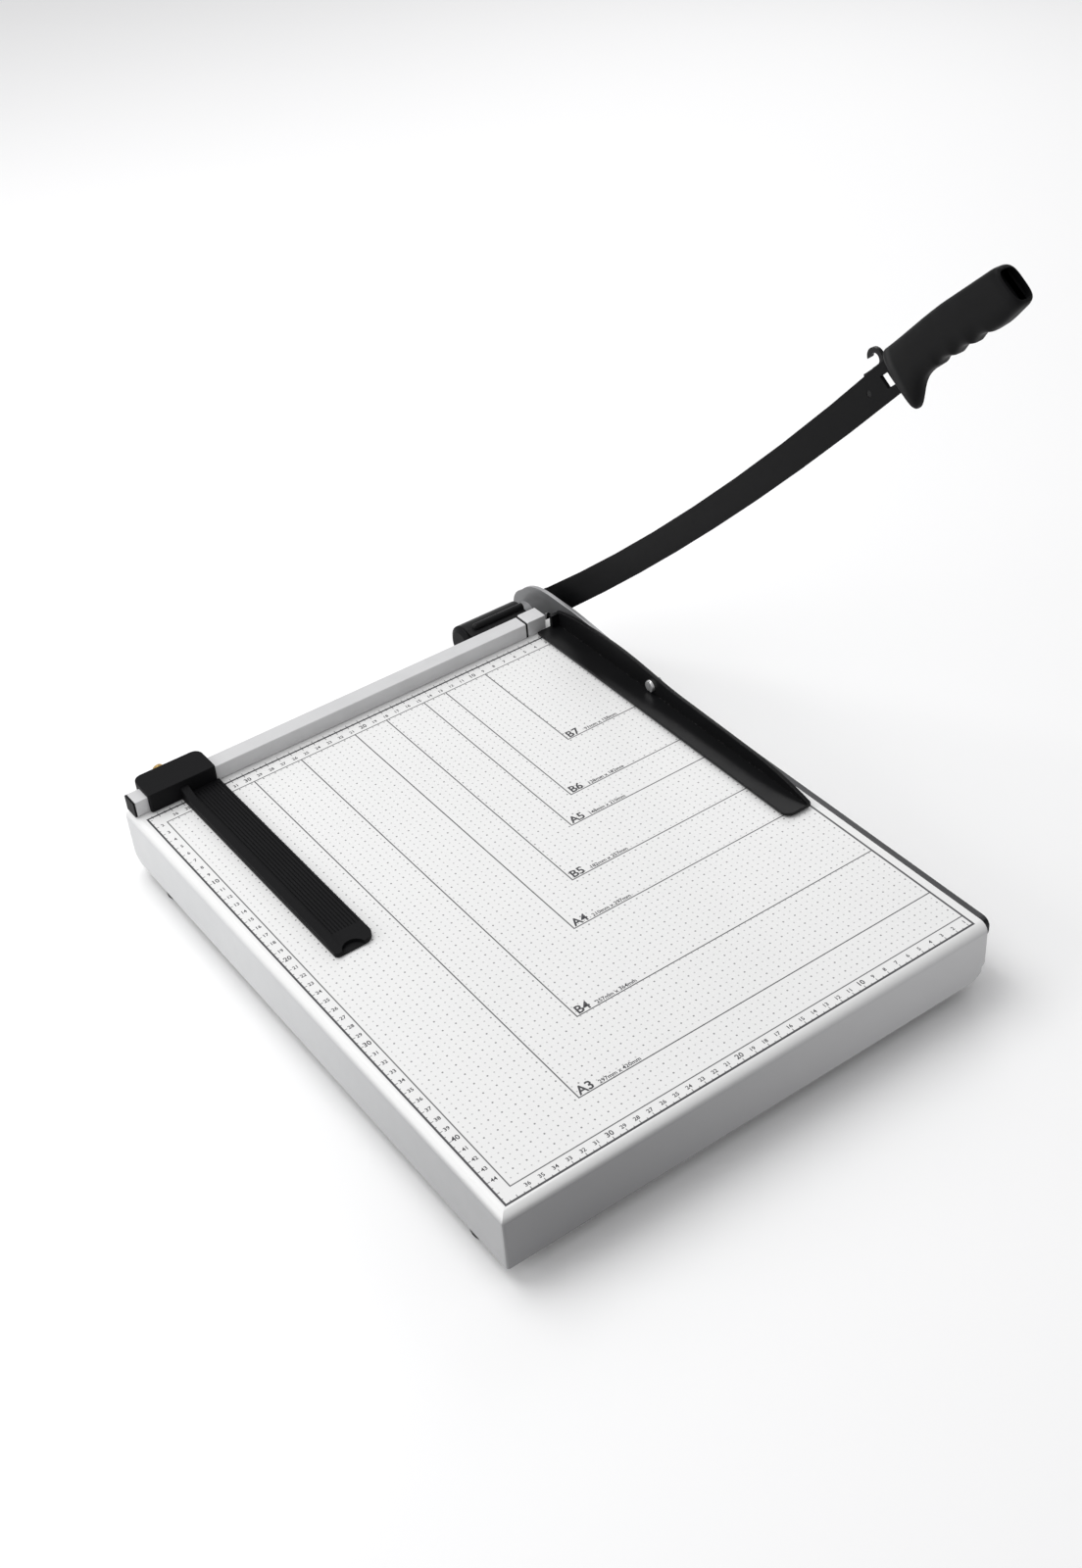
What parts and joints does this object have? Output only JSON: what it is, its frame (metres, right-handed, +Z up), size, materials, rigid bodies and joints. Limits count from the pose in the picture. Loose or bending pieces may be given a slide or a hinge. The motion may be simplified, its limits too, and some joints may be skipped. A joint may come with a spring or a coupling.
{
  "type": "guillotine paper cutter",
  "caption": "Guillotine paper cutter: flat bed with printed scales, hinged blade arm with grip, lever clamp shoe, fence and sliding stop.",
  "frame": {"origin": "bottom centre of the whole cutter as it stands with its arm raised, on the surface under its feet", "axes": "+X towards the cutting edge, +Y towards the fence and the hinge, +Z up"},
  "size_m": [0.4024, 0.5314, 0.4983],
  "materials": {
    "painted_steel": "light grey enamel over pressed steel",
    "zinc_steel": "zinc plated",
    "knife_steel": "blackened, ground on its faces",
    "anodised_aluminium": "satin anodised",
    "black_plastic": "fine grain",
    "black_steel": "satin black",
    "lever_steel": "plain rolled steel",
    "bright_chrome": "polished",
    "brass": "turned",
    "rubber": "moulded",
    "spring_steel": "oiled"
  },
  "bodies": {
    "base": {"base_pan": "painted_steel", "bed_stiffener_front": "zinc_steel", "bed_stiffener_rear": "zinc_steel", "knife_backing_bar": "zinc_steel", "pivot_spacer": "zinc_steel", "arm_washer": "zinc_steel", "pivot_bolt": "zinc_steel", "spring_washer": "zinc_steel", "pivot_nut": "zinc_steel", "bracket_screw_1": "zinc_steel", "bracket_screw_2": "zinc_steel", "bracket_nut_1": "zinc_steel", "bracket_nut_2": "zinc_steel", "stop_stud": "zinc_steel", "stop_stud_nut": "zinc_steel", "knife_screw_1": "zinc_steel", "knife_screw_2": "zinc_steel", "knife_screw_3": "zinc_steel", "knife_screw_4": "zinc_steel", "fence_screw_1": "zinc_steel", "fence_screw_2": "zinc_steel", "fence_screw_3": "zinc_steel", "foot_bracket_rear_left": "zinc_steel", "foot_bracket_front_left": "zinc_steel", "foot_bracket_rear_right": "zinc_steel", "foot_bracket_front_right": "zinc_steel", "foot_screw_rear_left": "zinc_steel", "foot_screw_front_left": "zinc_steel", "foot_screw_rear_right": "zinc_steel", "foot_screw_front_right": "zinc_steel", "bed_knife": "knife_steel", "fence_bar": "anodised_aluminium", "fence_end_block": "anodised_aluminium", "fence_left_cap": "black_plastic", "fence_right_cap": "black_plastic", "bracket_cap": "black_plastic", "hinge_bracket": "black_steel", "foot_rear_left": "rubber", "foot_front_left": "rubber", "foot_rear_right": "rubber", "foot_front_right": "rubber", "stop_sleeve": "rubber", "pivot_spring": "spring_steel"},
    "arm": {"blade_arm": "black_steel", "handle_left": "black_plastic", "handle_right": "black_plastic", "handle_screw_1": "zinc_steel", "handle_screw_2": "zinc_steel", "safety_hook": "black_steel", "hook_rivet_1": "black_steel"},
    "clamp": {"clamp_lever": "lever_steel", "shoe_screw": "bright_chrome", "shoe_nut": "zinc_steel"},
    "shoe": {"pressure_shoe": "black_steel", "shoe_pad": "rubber"},
    "stop": {"stop_body": "black_plastic", "stop_insert": "brass", "stop_pressure_plate": "spring_steel"},
    "lock_screw": {"stop_lock_screw": "brass"},
    "link": {"lock_link": "spring_steel"}
  },
  "joints": [
    {"name": "arm_swing", "type": "hinge", "parent": "base", "child": "arm", "pos_m": [0.18582, 0.24425, 0.04515], "axis": [-1, 0, 0], "range_deg": [-41.9, 38]},
    {"name": "clamp_lift", "type": "hinge", "parent": "base", "child": "clamp", "pos_m": [0.18582, 0.24425, 0.04515], "axis": [-1, 0, 0], "range_deg": [0, 5]},
    {"name": "shoe_level", "type": "hinge", "parent": "clamp", "child": "shoe", "pos_m": [0.17683, 0.07625, 0.06745], "axis": [-1, 0, 0], "range_deg": [-5, 0]},
    {"name": "stop_slide", "type": "slide", "parent": "base", "child": "stop", "axis": [1, 0, 0], "range_m": [-0.007, 0.265]},
    {"name": "lock_screw_turn", "type": "hinge", "parent": "stop", "child": "lock_screw", "pos_m": [-0.16317, 0.23125, 0.06565], "axis": [0, 1, 0], "range_deg": [-180, 180]},
    {"name": "link_swing", "type": "hinge", "parent": "base", "child": "link", "pos_m": [0.19883, -0.24875, 0.03205], "axis": [1, 0, 0], "range_deg": [-18, 141]}
  ],
  "couplings": [
    {"joint": "shoe_level", "follows": "clamp_lift", "ratio": -1}
  ]
}
